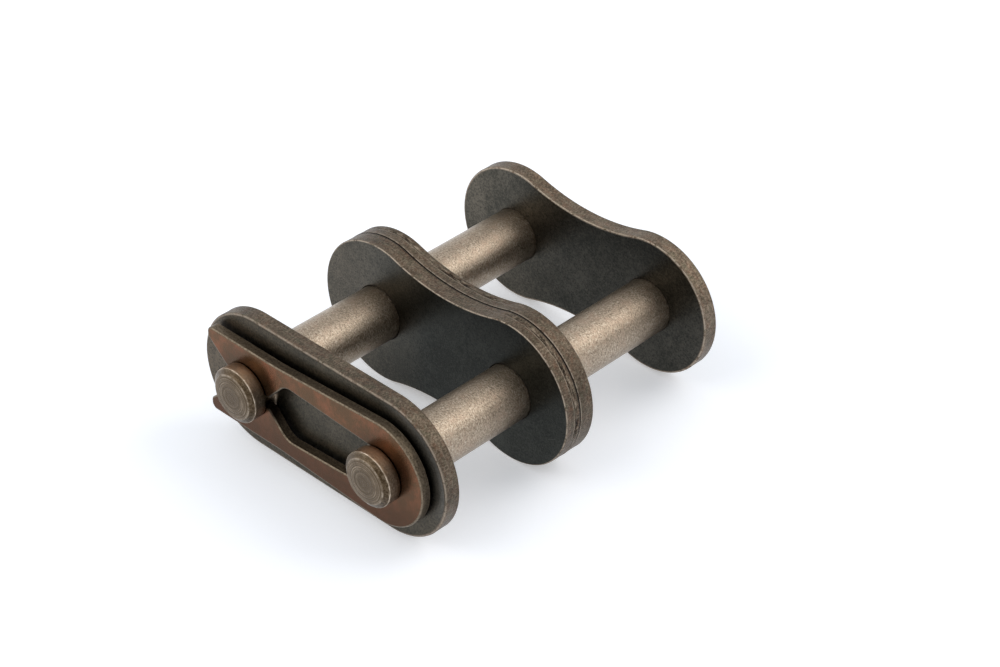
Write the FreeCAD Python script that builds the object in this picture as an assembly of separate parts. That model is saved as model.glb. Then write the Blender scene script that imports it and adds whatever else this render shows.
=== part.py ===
"""Two-strand roller chain connecting link with a spring clip, 15.875 mm pitch.

X runs along the pitch, Y along the pins from the clip to the riveted ends, Z up.
The origin is under the middle of the part, level with its lowest edges.
"""
import FreeCAD, Part
import math
import os

Vector = FreeCAD.Vector

# Chain size
PITCH = 15.875
STRAND_PITCH = 16.59
PIN_DIAMETER = 5.08

# Plates
OUTER_PLATE_THICKNESS = 1.5
CONNECTING_PLATE_HEIGHT = 12.9
PIN_LINK_PLATE_HEIGHT = 13.2
PIN_LINK_WAIST_DEPTH = 1.22
INTERMEDIATE_PLATE_THICKNESS = 1.6
INTERMEDIATE_PLATE_HEIGHT = 13.7
INTERMEDIATE_WAIST_DEPTH = 1.2
PLATE_EDGE_BREAK = 0.18
HOLE_EDGE_BREAK = 0.15

# Fits
SLIP_CLEARANCE = 0.05
SEAT_CLEARANCE = 0.05
GROOVE_PLAY = 0.04

# Where the loose pieces rest: how far the intermediate pair has slid forward of the middle,
# and the share of its slip fit that its lean takes up
PAIR_SHIFT = 0.82
LEAN_SHARE = 0.42

# Pins
GROOVE_DIAMETER = 4.2
PIN_HEAD_LENGTH = 1.18
PIN_EDGE_BREAK = 0.1
DOME_RING_DIAMETER = 4.0
DOME_RING_RISE = 0.3
DOME_FLAT_DIAMETER = 2.4
DOME_RISE = 0.5
RIVET_SPREAD = 0.4
RIVET_SINK = 0.35
RIVET_HEIGHT = 0.7
RIVET_RIM_HEIGHT = 0.25
RIVET_FLAT_DIAMETER = 4.5
RIVET_DIMPLE_DIAMETER = 1.8
RIVET_DIMPLE_DEPTH = 0.2

# Spring clip
CLIP_THICKNESS = 0.9
CLIP_STANDOFF = 0.3
CLIP_CLOSED_END_RADIUS = 4.95
CLIP_LEG_HALF_HEIGHT = 4.28
CLIP_LEG_BEND_REACH = 3.94
CLIP_LEG_BEND_RADIUS = 12.0
CLIP_TIP_REACH = 4.6
CLIP_TIP_RADIUS = 0.6
CLIP_TIP_DEPTH = 1.03
CLIP_TIP_INNER_RADIUS = 0.5
CLIP_MOUTH_ANGLE = 41.4
CLIP_THROAT_RADIUS = 0.4
CLIP_SEAT_MOUTH_ANGLE = 143.0
CLIP_SEAT_NECK_ANGLE = 30.0
CLIP_NECK_HALF_GAP = 0.6
CLIP_NECK_INNER_RADIUS = 0.3
CLIP_NECK_REACH = 2.85
CLIP_NECK_TIP_RADIUS = 0.4
CLIP_NECK_SLOPE = 47.3
CLIP_NECK_FILLET = 1.6
CLIP_SLOT_TAPER = 3.2
CLIP_EDGE_BREAK = 0.12

# Worked out from the sizes above
HALF_PITCH = PITCH / 2
PIN_RADIUS = PIN_DIAMETER / 2
GROOVE_RADIUS = GROOVE_DIAMETER / 2
SEAT_RADIUS = GROOVE_RADIUS + SEAT_CLEARANCE
STRAND_GAP = STRAND_PITCH - 2 * INTERMEDIATE_PLATE_THICKNESS
LEAN = math.atan(LEAN_SHARE * 2 * SLIP_CLEARANCE / INTERMEDIATE_PLATE_THICKNESS)
PAIR_STEP = INTERMEDIATE_PLATE_THICKNESS / math.cos(LEAN)

# Distances along Y from the connecting plate's front face
GROOVE_REAR = -CLIP_STANDOFF + GROOVE_PLAY
CLIP_FRONT = -CLIP_STANDOFF - CLIP_THICKNESS
GROOVE_FRONT = CLIP_FRONT - GROOVE_PLAY
HEAD_EDGE = GROOVE_FRONT - PIN_HEAD_LENGTH
PIN_FRONT = HEAD_EDGE - DOME_RISE
STRAND_MIDDLE = OUTER_PLATE_THICKNESS + STRAND_GAP + INTERMEDIATE_PLATE_THICKNESS
PAIR_MIDDLE = STRAND_MIDDLE - PAIR_SHIFT
PIN_LINK_FRONT = OUTER_PLATE_THICKNESS + 2 * STRAND_PITCH - 2 * INTERMEDIATE_PLATE_THICKNESS
PIN_LINK_REAR = PIN_LINK_FRONT + OUTER_PLATE_THICKNESS
PIN_REAR = PIN_LINK_REAR + RIVET_HEIGHT

# The part's own frame: middle of the length at Y 0, lowest plate edge at Z 0
FACE_Y = -(PIN_FRONT + PIN_REAR) / 2
AXIS_Z = max(CONNECTING_PLATE_HEIGHT, PIN_LINK_PLATE_HEIGHT, INTERMEDIATE_PLATE_HEIGHT) / 2


def rounded_wire(corners, y):
    """Closed wire at Y through corners (x, z, radius), each rounded by its own tangent arc."""
    count = len(corners)
    ends = []
    for i in range(count):
        x, z, radius = corners[i]
        before = corners[i - 1]
        after = corners[(i + 1) % count]
        here = Vector(x, y, z)
        back = (Vector(before[0], y, before[1]) - here).normalize()
        ahead = (Vector(after[0], y, after[1]) - here).normalize()
        half = back.getAngle(ahead) / 2
        middle = (back + ahead).normalize()
        centre = here + middle * (radius / math.sin(half))
        reach = radius / math.tan(half)
        ends.append((here + back * reach, centre - middle * radius, here + ahead * reach))
    edges = []
    for i in range(count):
        start, peak, stop = ends[i]
        edges.append(Part.Arc(start, peak, stop).toShape())
        following = ends[(i + 1) % count][0]
        if stop.distanceToPoint(following) > 1e-6:
            edges.append(Part.LineSegment(stop, following).toShape())
    return Part.Wire(edges)


def prism(corners, thickness, edge_break):
    """Flat piece from Y 0 to its thickness, with the edges of both faces broken."""
    blank = Part.Face(rounded_wire(corners, 0)).extrude(Vector(0, thickness, 0))
    rims = [e for e in blank.Edges if e.BoundBox.YLength < thickness / 2]
    return blank.makeChamfer(edge_break, rims)


def turned(profile):
    """Solid of revolution about the Y axis from (radius, y) points, closed on the axis."""
    points = [Vector(radius, y, 0) for radius, y in profile]
    points = [Vector(0, profile[0][1], 0)] + points + [Vector(0, profile[-1][1], 0)]
    points = [p for i, p in enumerate(points) if i == 0 or p.distanceToPoint(points[i - 1]) > 1e-9]
    face = Part.Face(Part.makePolygon(points + points[:1]))
    return face.revolve(Vector(0, 0, 0), Vector(0, 1, 0), 360)


def bore(radius, thickness, front_break, rear_break):
    """Cutter for a hole through a plate from Y 0, with a broken edge at each face."""
    past = thickness
    return turned([
        (radius + front_break + past, -past),
        (radius, front_break),
        (radius, thickness - rear_break),
        (radius + rear_break + past, thickness + past),
    ])


def straight_outline(height):
    """Corners of a straight-sided plate with full round ends."""
    radius = height / 2
    end = HALF_PITCH + radius
    return [(end, radius, radius), (-end, radius, radius), (-end, -radius, radius), (end, -radius, radius)]


def waisted_outline(height, waist_depth):
    """Corners of a plate with round ends that run straight into a hollow waist arc."""
    radius = height / 2
    waist_radius = PITCH**2 / (8 * waist_depth) - radius + waist_depth / 2
    normal = math.atan2(radius - waist_depth + waist_radius, -HALF_PITCH)
    end = HALF_PITCH + radius
    end_z = radius * (1 - math.cos(normal)) / math.sin(normal)
    waist_z = (radius + HALF_PITCH * math.cos(normal)) / math.sin(normal)
    upper = [(end, end_z, radius), (0, waist_z, waist_radius), (-end, end_z, radius)]
    return upper + [(x, -z, r) for x, z, r in reversed(upper)]


def plate(corners, thickness, hole_radius, front_break, rear_break):
    """Plate with its front face at Y 0 and a hole for each pin."""
    solid = prism(corners, thickness, PLATE_EDGE_BREAK)
    for x in (-HALF_PITCH, HALF_PITCH):
        cutter = bore(hole_radius, thickness, front_break, rear_break)
        cutter.translate(Vector(x, 0, 0))
        solid = solid.cut(cutter)
    return solid


def connecting_plate():
    """Removable outer plate, a slip fit on the pins."""
    hole = PIN_RADIUS + SLIP_CLEARANCE
    corners = straight_outline(CONNECTING_PLATE_HEIGHT)
    return plate(corners, OUTER_PLATE_THICKNESS, hole, HOLE_EDGE_BREAK, HOLE_EDGE_BREAK)


def pin_link_plate():
    """Rear outer plate: the pins are pressed in and riveted over its countersunk rear face."""
    corners = waisted_outline(PIN_LINK_PLATE_HEIGHT, PIN_LINK_WAIST_DEPTH)
    solid = plate(corners, OUTER_PLATE_THICKNESS, PIN_RADIUS, HOLE_EDGE_BREAK, RIVET_SINK)
    solid.translate(Vector(0, PIN_LINK_FRONT, 0))
    return solid


def intermediate_plate(side):
    """One of the pair between the strands, leaning in its slip fit; side is -1 in front, 1 behind."""
    corners = waisted_outline(INTERMEDIATE_PLATE_HEIGHT, INTERMEDIATE_WAIST_DEPTH)
    hole = PIN_RADIUS + SLIP_CLEARANCE
    solid = plate(corners, INTERMEDIATE_PLATE_THICKNESS, hole, HOLE_EDGE_BREAK, HOLE_EDGE_BREAK)
    solid.translate(Vector(0, -INTERMEDIATE_PLATE_THICKNESS / 2, 0))
    solid.rotate(Vector(0, 0, 0), Vector(0, 0, 1), -math.degrees(LEAN))
    solid.translate(Vector(0, PAIR_MIDDLE + side * PAIR_STEP / 2, 0))
    return solid


def bearing_pin(x):
    """Pin with a domed front end, a clip groove and a riveted rear end."""
    solid = turned([
        (DOME_FLAT_DIAMETER / 2, PIN_FRONT),
        (DOME_RING_DIAMETER / 2, HEAD_EDGE - DOME_RING_RISE),
        (PIN_RADIUS - PIN_EDGE_BREAK, HEAD_EDGE - PIN_EDGE_BREAK / 2),
        (PIN_RADIUS, HEAD_EDGE + PIN_EDGE_BREAK / 2),
        (PIN_RADIUS, GROOVE_FRONT),
        (GROOVE_RADIUS, GROOVE_FRONT),
        (GROOVE_RADIUS, GROOVE_REAR),
        (PIN_RADIUS, GROOVE_REAR),
        (PIN_RADIUS, PIN_LINK_REAR - RIVET_SINK),
        (PIN_RADIUS + RIVET_SINK, PIN_LINK_REAR),
        (PIN_RADIUS + RIVET_SPREAD, PIN_LINK_REAR),
        (PIN_RADIUS + RIVET_SPREAD, PIN_LINK_REAR + RIVET_RIM_HEIGHT),
        (RIVET_FLAT_DIAMETER / 2, PIN_REAR),
        (RIVET_DIMPLE_DIAMETER / 2, PIN_REAR),
        (0, PIN_REAR - RIVET_DIMPLE_DEPTH),
    ])
    solid.translate(Vector(x, 0, 0))
    return solid


def crossing(point_a, angle_a, point_b, angle_b):
    """Where two lines in the XZ plane cross, each given by a point and an angle in degrees."""
    ax, az = math.cos(math.radians(angle_a)), math.sin(math.radians(angle_a))
    bx, bz = math.cos(math.radians(angle_b)), math.sin(math.radians(angle_b))
    dx, dz = point_b[0] - point_a[0], point_b[1] - point_a[1]
    along = (dx * bz - dz * bx) / (ax * bz - az * bx)
    return point_a[0] + along * ax, point_a[1] + along * az


def on_circle(centre_x, radius, angle):
    """Point on a circle about (centre_x, 0) at an angle in degrees."""
    return centre_x + radius * math.cos(math.radians(angle)), radius * math.sin(math.radians(angle))


def clip_outline():
    """Corners of the clip: closed end round the right pin, open end round the left pin."""
    left, right = -HALF_PITCH, HALF_PITCH

    # Outside of the upper leg, from the closed end to the tip
    bend = (-CLIP_LEG_BEND_REACH, CLIP_LEG_HALF_HEIGHT)
    run = math.hypot(right - bend[0], bend[1])
    dip = math.degrees(math.atan2(bend[1], right - bend[0]))
    rise = math.degrees(math.asin(CLIP_CLOSED_END_RADIUS / run)) - dip
    closed_end = (right + CLIP_CLOSED_END_RADIUS, 0)
    outer_corner = crossing(bend, rise, closed_end, 90)
    tip = (left - CLIP_TIP_REACH, CLIP_LEG_HALF_HEIGHT)
    tip_inner = (tip[0], tip[1] - CLIP_TIP_DEPTH)

    # Mouth, seat round the left pin and the neck that keeps the clip on it
    mouth_end = on_circle(left, SEAT_RADIUS, CLIP_SEAT_MOUTH_ANGLE)
    neck_end = on_circle(left, SEAT_RADIUS, CLIP_SEAT_NECK_ANGLE)
    throat = crossing(tip_inner, -CLIP_MOUTH_ANGLE, mouth_end, CLIP_SEAT_MOUTH_ANGLE - 90)
    seat_top = crossing(mouth_end, CLIP_SEAT_MOUTH_ANGLE - 90, neck_end, CLIP_SEAT_NECK_ANGLE - 90)
    neck_inner = crossing(neck_end, CLIP_SEAT_NECK_ANGLE - 90, (0, CLIP_NECK_HALF_GAP), 0)
    neck_tip = (left + CLIP_NECK_REACH, CLIP_NECK_HALF_GAP)

    # Tapered slot and the seat round the right pin
    slot_point = on_circle(right, SEAT_RADIUS, 90 - CLIP_SLOT_TAPER)
    neck_root = crossing(neck_tip, CLIP_NECK_SLOPE, slot_point, -CLIP_SLOT_TAPER)
    seat_corner = crossing(slot_point, -CLIP_SLOT_TAPER, (right + SEAT_RADIUS, 0), 90)

    upper = [
        (*outer_corner, CLIP_CLOSED_END_RADIUS),
        (*bend, CLIP_LEG_BEND_RADIUS),
        (*tip, CLIP_TIP_RADIUS),
        (*tip_inner, CLIP_TIP_INNER_RADIUS),
        (*throat, CLIP_THROAT_RADIUS),
        (*seat_top, SEAT_RADIUS),
        (*neck_inner, CLIP_NECK_INNER_RADIUS),
        (*neck_tip, CLIP_NECK_TIP_RADIUS),
        (*neck_root, CLIP_NECK_FILLET),
        (*seat_corner, SEAT_RADIUS),
    ]
    return upper + [(x, -z, r) for x, z, r in reversed(upper)]


def spring_clip():
    """Flat spring clip, seated in the grooves of both pins."""
    solid = prism(clip_outline(), CLIP_THICKNESS, CLIP_EDGE_BREAK)
    solid.translate(Vector(0, CLIP_FRONT, 0))
    return solid


def main():
    os.makedirs("parts", exist_ok=True)
    nodes = {
        "pin_link_plate": pin_link_plate(),
        "bearing_pin_left": bearing_pin(-HALF_PITCH),
        "bearing_pin_right": bearing_pin(HALF_PITCH),
        "intermediate_plate_rear": intermediate_plate(1),
        "intermediate_plate_front": intermediate_plate(-1),
        "connecting_plate": connecting_plate(),
        "spring_clip": spring_clip(),
    }
    for name, shape in nodes.items():
        shape.translate(Vector(0, FACE_Y, AXIS_Z))
        solid = shape.Solids[0]
        print(name, solid.isValid(), len(shape.Solids), round(solid.Volume, 3), solid.BoundBox)
        solid.exportStep(f"parts/{name}.step")


main()
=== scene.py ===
"""Looks of the two-strand chain connecting link: finer meshes, steel materials, light, floor and camera.

Lengths named here are in millimetres, as in the part's source, and become metres where objects are made.
Those of the floor and the lamps are in metres.
"""
import math

import bpy
from mathutils import Matrix, Vector, noise
from mathutils.geometry import delaunay_2d_cdt


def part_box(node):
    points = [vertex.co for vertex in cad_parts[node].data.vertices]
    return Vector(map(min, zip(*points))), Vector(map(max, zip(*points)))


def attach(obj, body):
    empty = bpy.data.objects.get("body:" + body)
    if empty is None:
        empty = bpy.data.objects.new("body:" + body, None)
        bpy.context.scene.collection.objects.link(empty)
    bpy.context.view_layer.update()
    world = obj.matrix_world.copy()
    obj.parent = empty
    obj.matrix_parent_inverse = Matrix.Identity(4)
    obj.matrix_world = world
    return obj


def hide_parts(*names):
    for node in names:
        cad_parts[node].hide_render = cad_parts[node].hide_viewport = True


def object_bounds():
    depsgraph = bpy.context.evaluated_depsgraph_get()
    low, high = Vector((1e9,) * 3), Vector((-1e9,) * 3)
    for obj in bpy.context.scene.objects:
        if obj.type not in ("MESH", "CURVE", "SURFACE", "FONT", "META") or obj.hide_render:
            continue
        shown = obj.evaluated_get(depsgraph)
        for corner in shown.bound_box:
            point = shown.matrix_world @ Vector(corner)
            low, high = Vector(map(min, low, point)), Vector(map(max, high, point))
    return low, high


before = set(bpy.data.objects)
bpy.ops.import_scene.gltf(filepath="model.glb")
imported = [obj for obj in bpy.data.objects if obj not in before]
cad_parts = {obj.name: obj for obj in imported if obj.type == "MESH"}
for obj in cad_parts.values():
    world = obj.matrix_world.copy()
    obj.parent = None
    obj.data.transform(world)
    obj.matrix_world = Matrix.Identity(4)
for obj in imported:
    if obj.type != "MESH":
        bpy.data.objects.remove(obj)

MM = 0.001

cad_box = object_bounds()


def box_mm(node):
    """Lowest and highest corner of a CAD node in millimetres."""
    return [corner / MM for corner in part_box(node)]


# Places read from the frame
conn_low, conn_high = box_mm("connecting_plate")
link_low, link_high = box_mm("pin_link_plate")
clip_low, clip_high = box_mm("spring_clip")
pin_low, pin_high = box_mm("bearing_pin_right")
HALF_PITCH = (pin_low.x + pin_high.x) / 2
PITCH = 2 * HALF_PITCH
AXIS_Z = (conn_low.z + conn_high.z) / 2
CONN_HEIGHT = conn_high.z - conn_low.z
LINK_HEIGHT = link_high.z - link_low.z
OUTER_THICKNESS = conn_high.y - conn_low.y
CLIP_THICKNESS = clip_high.y - clip_low.y
PIN_FRONT = pin_low.y
PIN_REAR = pin_high.y

# Sizes as in the part's source
PIN_RADIUS = 2.54
SLIP_CLEARANCE = 0.05
LINK_WAIST_DEPTH = 1.22
MIDDLE_THICKNESS = 1.6
MIDDLE_HEIGHT = 13.7
MIDDLE_WAIST_DEPTH = 1.2
LEAN_SHARE = 0.42
GROOVE_RADIUS = 2.1
SEAT_RADIUS = 2.15
GROOVE_PLAY = 0.04
HEAD_LENGTH = 1.18
DOME_RISE = 0.5
RIVET_SINK = 0.35
RIVET_HEIGHT = 0.7

# Worked out from them
LEAN = math.atan(LEAN_SHARE * 2 * SLIP_CLEARANCE / MIDDLE_THICKNESS)
SLIP_HOLE_RADIUS = PIN_RADIUS + SLIP_CLEARANCE

# Fineness of the meshes: longest steps along an outline, largest turn in radians, numbers of parts and rows
OUTLINE_STEP = 0.1
CLIP_OUTLINE_STEP = 0.08
MAX_TURN = 0.12
FEWEST_ARC_PARTS = 2
HOLE_SEGMENTS = 120
PIN_SEGMENTS = 180
PIN_ROWS = 60
WALL_ROWS = 24

# Shortest straight run of an outline that gets points of its own, as a share of the step
SHORTEST_RUN = 0.25

# Width of the flat ring that keeps a face flat up to its edge
SUPPORT = 0.05

# Broken edge of a hole, and where its middle point lies both ways, as a share of it
HOLE_EDGE = 0.04
HOLE_EDGE_MIDDLE = 0.3

# How flat faces are filled: the kind of output, and how near two points count as one
INSIDE_WITH_HOLES = 2
SAME_POINT = 1e-6


# Outlines

def outline(corners, step):
    """Closed loop of points (x, z, normal x, normal z), counterclockwise.

    It runs along the tangent lines and arcs of corners (x, z, radius).
    """
    count = len(corners)
    arcs = []
    for i in range(count):
        here = Vector(corners[i][:2])
        radius = corners[i][2]
        into = (here - Vector(corners[i - 1][:2])).normalized()
        away = (Vector(corners[(i + 1) % count][:2]) - here).normalized()
        turn = math.atan2(into.x * away.y - into.y * away.x, into.dot(away))
        reach = radius * math.tan(abs(turn) / 2)
        side = math.copysign(1, turn)
        start = here - into * reach
        normal = Vector((into.y, -into.x))
        centre = start - normal * radius * side
        arcs.append((start, normal, turn, centre, radius * side, here + away * reach))
    points = []
    for i in range(count):
        start, normal, turn, centre, signed, stop = arcs[i]
        parts = max(FEWEST_ARC_PARTS, math.ceil(abs(turn * signed) / step), math.ceil(abs(turn) / MAX_TURN))
        for k in range(parts):
            n = normal.copy()
            n.rotate(Matrix.Rotation(turn * k / parts, 2))
            p = centre + n * signed
            points.append((p.x, p.y, n.x, n.y))
        following = arcs[(i + 1) % count][0]
        n = normal.copy()
        n.rotate(Matrix.Rotation(turn, 2))
        length = (following - stop).length
        parts = max(1, math.ceil(length / step)) if length > step * SHORTEST_RUN else 0
        for k in range(parts):
            p = stop.lerp(following, k / parts)
            points.append((p.x, p.y, n.x, n.y))
    return points


def straight_corners(height):
    """Corners of a plate with straight sides and full round ends."""
    r = height / 2
    end = HALF_PITCH + r
    return [(end, r, r), (-end, r, r), (-end, -r, r), (end, -r, r)]


def waisted_corners(height, depth):
    """Corners of a plate with round ends that run straight into a hollow waist arc."""
    r = height / 2
    waist = PITCH**2 / (8 * depth) - r + depth / 2
    normal = math.atan2(r - depth + waist, -HALF_PITCH)
    end = HALF_PITCH + r
    end_z = r * (1 - math.cos(normal)) / math.sin(normal)
    waist_z = (r + HALF_PITCH * math.cos(normal)) / math.sin(normal)
    upper = [(end, end_z, r), (0, waist_z, waist), (-end, end_z, r)]
    return upper + [(x, -z, q) for x, z, q in reversed(upper)]


def crossing(a, angle_a, b, angle_b):
    """Where two lines cross, each given by a point and an angle in degrees."""
    ax, az = math.cos(math.radians(angle_a)), math.sin(math.radians(angle_a))
    bx, bz = math.cos(math.radians(angle_b)), math.sin(math.radians(angle_b))
    along = ((b[0] - a[0]) * bz - (b[1] - a[1]) * bx) / (ax * bz - az * bx)
    return a[0] + along * ax, a[1] + along * az


def on_circle(x, radius, angle):
    """Point at an angle in degrees on a circle round a pin's axis."""
    return x + radius * math.cos(math.radians(angle)), radius * math.sin(math.radians(angle))


# Sizes of the clip, as in the part's source
CLIP_CLOSED_END_RADIUS = 4.95
CLIP_LEG_HALF_HEIGHT = 4.28
CLIP_LEG_BEND_REACH = 3.94
CLIP_LEG_BEND_RADIUS = 12.0
CLIP_TIP_REACH = 4.6
CLIP_TIP_RADIUS = 0.6
CLIP_TIP_DEPTH = 1.03
CLIP_TIP_INNER_RADIUS = 0.5
CLIP_MOUTH_ANGLE = 41.4
CLIP_THROAT_RADIUS = 0.4
CLIP_SEAT_MOUTH_ANGLE = 143.0
CLIP_SEAT_NECK_ANGLE = 30.0
CLIP_NECK_HALF_GAP = 0.6
CLIP_NECK_INNER_RADIUS = 0.3
CLIP_NECK_REACH = 2.85
CLIP_NECK_TIP_RADIUS = 0.4
CLIP_NECK_SLOPE = 47.3
CLIP_NECK_FILLET = 1.6
CLIP_SLOT_TAPER = 3.2


def clip_corners():
    """Corners of the clip: closed end round the right pin, open end round the left pin."""
    left, right = -HALF_PITCH, HALF_PITCH
    bend = (-CLIP_LEG_BEND_REACH, CLIP_LEG_HALF_HEIGHT)
    run = math.hypot(right - bend[0], bend[1])
    dip = math.degrees(math.atan2(bend[1], right - bend[0]))
    rise = math.degrees(math.asin(CLIP_CLOSED_END_RADIUS / run)) - dip
    outer_corner = crossing(bend, rise, (right + CLIP_CLOSED_END_RADIUS, 0), 90)
    tip = (left - CLIP_TIP_REACH, CLIP_LEG_HALF_HEIGHT)
    tip_inner = (tip[0], tip[1] - CLIP_TIP_DEPTH)
    mouth_end = on_circle(left, SEAT_RADIUS, CLIP_SEAT_MOUTH_ANGLE)
    neck_end = on_circle(left, SEAT_RADIUS, CLIP_SEAT_NECK_ANGLE)
    throat = crossing(tip_inner, -CLIP_MOUTH_ANGLE, mouth_end, CLIP_SEAT_MOUTH_ANGLE - 90)
    seat_top = crossing(mouth_end, CLIP_SEAT_MOUTH_ANGLE - 90, neck_end, CLIP_SEAT_NECK_ANGLE - 90)
    neck_inner = crossing(neck_end, CLIP_SEAT_NECK_ANGLE - 90, (0, CLIP_NECK_HALF_GAP), 0)
    neck_tip = (left + CLIP_NECK_REACH, CLIP_NECK_HALF_GAP)
    slot_point = on_circle(right, SEAT_RADIUS, 90 - CLIP_SLOT_TAPER)
    neck_root = crossing(neck_tip, CLIP_NECK_SLOPE, slot_point, -CLIP_SLOT_TAPER)
    seat_corner = crossing(slot_point, -CLIP_SLOT_TAPER, (right + SEAT_RADIUS, 0), 90)
    upper = [
        (*outer_corner, CLIP_CLOSED_END_RADIUS),
        (*bend, CLIP_LEG_BEND_RADIUS),
        (*tip, CLIP_TIP_RADIUS),
        (*tip_inner, CLIP_TIP_INNER_RADIUS),
        (*throat, CLIP_THROAT_RADIUS),
        (*seat_top, SEAT_RADIUS),
        (*neck_inner, CLIP_NECK_INNER_RADIUS),
        (*neck_tip, CLIP_NECK_TIP_RADIUS),
        (*neck_root, CLIP_NECK_FILLET),
        (*seat_corner, SEAT_RADIUS),
    ]
    return upper + [(x, -z, r) for x, z, r in reversed(upper)]


# Meshes

def make_skin(node, body, slot, material, verts, faces, marks):
    """Piece that stands for a CAD node. Points are in millimetres, and each mark has one value a point."""
    mesh = bpy.data.meshes.new(node + "_skin")
    mesh.from_pydata([Vector(v) * MM for v in verts], [], faces)
    mesh.validate()
    for key, values in marks.items():
        attribute = mesh.attributes.new(key, "FLOAT", "POINT")
        attribute.data.foreach_set("value", values)
    mesh.shade_smooth()
    mesh.materials.append(material)
    piece = bpy.data.objects.new(node + "_skin", mesh)
    bpy.context.scene.collection.objects.link(piece)
    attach(piece, body)
    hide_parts(node)


def around(count):
    """Each point of a ring with the next one, back to the first."""
    return [(k, (k + 1) % count) for k in range(count)]


# Marks across a rounded edge, row by row from the face to the rim
NO_MARK = (0, 0, 0, 0, 0, 0)
WORN = (0, 0.25, 1.0, 0.45, 0.1, 0)
SOFTLY_WORN = (0, 0.1, 0.5, 0.3, 0.1, 0)
FAINTLY_WORN = (0, 0.1, 0.3, 0.15, 0, 0)
HARDLY_WORN = (0, 0.1, 0.4, 0.2, 0, 0)
SEAM_WORN = (0, 0, 0, 0, 0.55, 0.45)
SEAM_SHADE = (1, 1, 1, 1, 0.9, 0.4)
SEAM_SHADE_THIN = (1, 1, 1, 0.8, 0.1, 0)
ROUND_ROWS = len(WORN) - 1


def rim_rows(thickness, front, rear):
    """Rows (y, inset, wear, seam, rough) over the rim, from inside the front edge to inside the rear edge.

    Each edge is its width across the face, its depth down the rim and its wear and seam marks.
    """
    width, depth, worn, dark = front
    rear_width, rear_depth, rear_worn, rear_dark = rear
    rows = [(0, width + SUPPORT, 0, 0, False)]
    for k in range(ROUND_ROWS + 1):
        a = math.pi / 2 * k / ROUND_ROWS
        rows.append((depth * (1 - math.cos(a)), width * (1 - math.sin(a)), worn[k], dark[k], False))
    wall = thickness - depth - rear_depth
    for k in range(1, WALL_ROWS):
        rows.append((depth + wall * k / WALL_ROWS, 0, 0, 0, True))
    for k in reversed(range(ROUND_ROWS + 1)):
        a = math.pi / 2 * k / ROUND_ROWS
        y = thickness - rear_depth * (1 - math.cos(a))
        rows.append((y, rear_width * (1 - math.sin(a)), rear_worn[k], rear_dark[k], False))
    rows.append((thickness, rear_width + SUPPORT, 0, 0, False))
    return rows


def hole_rows(thickness):
    """Rows (y, distance outside the hole's wall) through a hole with broken edges."""
    middle = HOLE_EDGE * HOLE_EDGE_MIDDLE
    into = [(0, HOLE_EDGE + SUPPORT), (0, HOLE_EDGE), (middle, middle), (HOLE_EDGE, 0)]
    return into + [(thickness - y, out) for y, out in reversed(into)]


def bored(base, centre_x, radius, thickness):
    """Vertices and faces of a hole's wall, where base is the number of its first vertex."""
    rows = hole_rows(thickness)
    verts = []
    for y, out in rows:
        for k in range(HOLE_SEGMENTS):
            a = 2 * math.pi * k / HOLE_SEGMENTS
            verts.append((centre_x + (radius + out) * math.cos(a), y, (radius + out) * math.sin(a)))
    faces = []
    for row in range(len(rows) - 1):
        low = base + row * HOLE_SEGMENTS
        high = low + HOLE_SEGMENTS
        faces += [(low + k, low + j, high + j, high + k) for k, j in around(HOLE_SEGMENTS)]
    return verts, faces


def flat_triangles(verts, loops):
    """Triangles of the flat face inside the first loop and outside the others.

    They run counterclockwise in (x, z).
    """
    order = [i for loop in loops for i in loop]
    points = [Vector((verts[i][0], verts[i][2])) for i in order]
    rings = []
    for loop in loops:
        start = sum(len(ring) for ring in rings)
        rings.append(range(start, start + len(loop)))
    _, _, triangles, origins, _, _ = delaunay_2d_cdt(points, [], rings, INSIDE_WITH_HOLES, SAME_POINT)
    return [[order[origins[corner][0]] for corner in triangle] for triangle in triangles]


def slab(corners, thickness, edges, rim_marks, holes, place, step=OUTLINE_STEP):
    """Vertices, faces and marks of a flat piece: rounded edges, a rough rim, bored holes."""
    loop = outline(corners, step)
    count = len(loop)
    rows = rim_rows(thickness, *edges)
    verts = []
    marks = {"wear": [], "rim": [], "torn": [], "ridge": [], "seam": []}
    for y, inset, worn, dark, rough in rows:
        on_rim = float(0 < y < thickness)
        for x, z, nx, nz in loop:
            deep, torn, ridge = rim_marks(x, y, z) if rough else (0.0, 0.0, 0.0)
            verts.append((x - nx * (inset + deep), y, z - nz * (inset + deep)))
            for key, value in zip(marks, (worn, on_rim, torn, ridge, dark)):
                marks[key].append(value)
    faces = []
    for row in range(len(rows) - 1):
        low = row * count
        high = low + count
        faces += [(low + k, high + k, high + j, low + j) for k, j in around(count)]
    front = [list(range(count))]
    rear = [list(range(len(verts) - count, len(verts)))]
    for centre_x, radius in holes:
        base = len(verts)
        hole_verts, hole_faces = bored(base, centre_x, radius, thickness)
        verts += hole_verts
        faces += hole_faces
        for values in marks.values():
            values += [0.0] * len(hole_verts)
        front.append(list(range(base, base + HOLE_SEGMENTS)))
        rear.append(list(range(len(verts) - HOLE_SEGMENTS, len(verts))))
    faces += flat_triangles(verts, front)
    faces += [(a, c, b) for a, b, c in flat_triangles(verts, rear)]
    return [place(Vector(v)) for v in verts], faces, marks


# Marks of blanking on a rim

def clamp(value):
    """Value held between 0 and 1."""
    return max(0.0, min(1.0, value))


def bell(offset, width):
    """1 at no offset, falling smoothly to 0 on both sides."""
    return math.exp(-(offset / width)**2)


def wobble(x, y, z, frequency, seed):
    """Smooth noise from -1 to 1. Its frequency is a pair, per millimetre along the rim and through it."""
    along, through = frequency
    return noise.noise(Vector((x * along + seed, y * through, z * along - seed)))


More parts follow.
